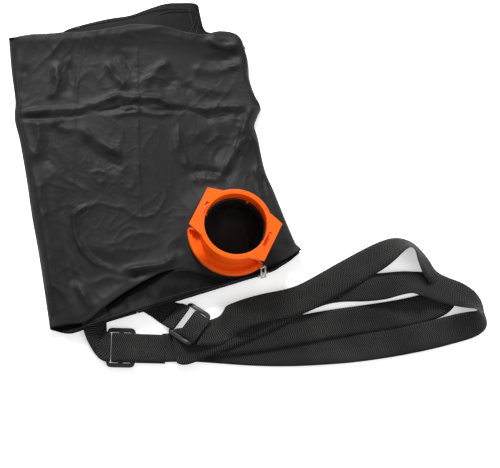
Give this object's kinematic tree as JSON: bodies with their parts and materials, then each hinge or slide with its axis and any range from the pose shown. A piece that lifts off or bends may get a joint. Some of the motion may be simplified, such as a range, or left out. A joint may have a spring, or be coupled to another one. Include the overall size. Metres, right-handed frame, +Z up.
{
  "type": "leaf vacuum collection bag",
  "caption": "Flat-lying fabric collection bag for a leaf vacuum: moulded inlet collar, edge zip, webbing tabs with three-bar buckles and a loose shoulder strap.",
  "frame": {"origin": "on the floor, at the middle of the footprint of the bag, its tabs and buckles (the loose strap apart)", "axes": "+Z up, along the inlet collar's axis; +Y from the zip edge towards the bag's far end; +X to the side the collar is on"},
  "size_m": [0.6535, 0.5317, 0.058],
  "materials": {
    "nylon": "satin woven nylon",
    "tape": "matt woven tape",
    "webbing": "ribbed webbing",
    "thread": "polyester thread",
    "orange_plastic": "satin moulded",
    "black_plastic": "satin moulded",
    "zip_metal": "bright plated"
  },
  "bodies": {
    "bag": {"back_panel": "nylon", "front_panel": "nylon", "gusset_left": "nylon", "gusset_right": "nylon", "gusset_top": "nylon", "gusset_bottom": "nylon", "seam_binding_back": "tape", "seam_binding_front": "tape", "inlet_collar": "orange_plastic", "retaining_ring": "black_plastic", "zip_tape_lower": "tape", "zip_tape_upper": "tape", "zip_coil_lower": "black_plastic", "zip_coil_upper": "black_plastic", "zip_stop_left": "zip_metal", "zip_stop_right": "zip_metal", "strap_tab_left": "webbing", "strap_tab_right": "webbing", "shoulder_strap": "webbing"},
    "slider": {"zip_slider": "zip_metal"},
    "pull": {"zip_pull": "zip_metal"},
    "left_buckle": {"buckle_left": "black_plastic", "strap_end_left": "webbing", "strap_end_stitching": "thread"},
    "right_buckle": {"buckle_right": "black_plastic", "strap_end_right": "webbing"}
  },
  "joints": [
    {"name": "zip_run", "type": "slide", "parent": "bag", "child": "slider", "axis": [-0.9438, -0.3304, 0], "range_m": [0, 0.15]},
    {"name": "pull_swing", "type": "hinge", "parent": "slider", "child": "pull", "pos_m": [0.15149, -0.14136, 0.0113], "axis": [0.9438, 0.3304, 0], "range_deg": [0, 105]},
    {"name": "left_buckle_lift", "type": "hinge", "parent": "bag", "child": "left_buckle", "pos_m": [-0.05, -0.24, 0.0036], "axis": [0, -1, 0], "range_deg": [0, 45]},
    {"name": "right_buckle_lift", "type": "hinge", "parent": "bag", "child": "right_buckle", "pos_m": [0.0413, -0.1983, 0.0044], "axis": [-0.5736, -0.8192, 0], "range_deg": [0, 40]}
  ]
}
